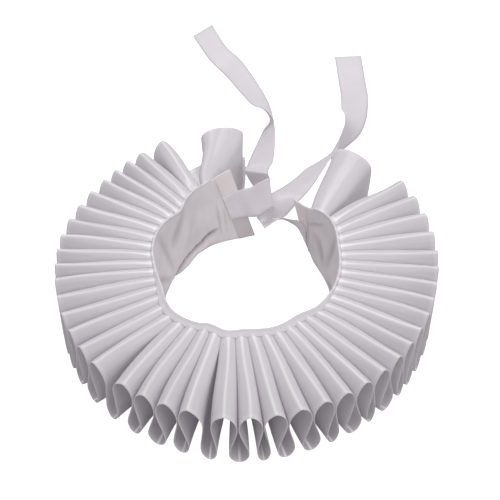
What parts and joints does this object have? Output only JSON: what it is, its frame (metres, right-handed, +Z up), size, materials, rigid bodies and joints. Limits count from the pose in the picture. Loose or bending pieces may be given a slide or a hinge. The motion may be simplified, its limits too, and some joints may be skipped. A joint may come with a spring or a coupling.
{
  "type": "figure-of-eight ruff collar of satin ribbon with ribbon ties",
  "caption": "Round standing ruff collar of satin ribbon in tall loops on a fabric neckband, open at the back, with a ribbon tie at each end.",
  "frame": {"origin": "on the resting plane, under the middle of the collar's footprint with the ties left out", "axes": "+Z up out of the neck, +Y toward the opening and the ties, +X toward the right-hand tie"},
  "size_m": [0.289, 0.4711, 0.0601],
  "materials": {
    "ruffle_satin": "satin",
    "band_cotton": "matte plain weave",
    "placket_left_ribbon": "matte ribbed",
    "placket_right_ribbon": "matte ribbed",
    "tie_left_satin": "satin",
    "tie_right_satin": "satin"
  },
  "bodies": {
    "root": {"pleated_ruffle": "ruffle_satin", "neckband": "band_cotton", "placket_left": "placket_left_ribbon", "placket_right": "placket_right_ribbon", "tie_left": "tie_left_satin", "tie_right": "tie_right_satin"}
  },
  "joints": []
}
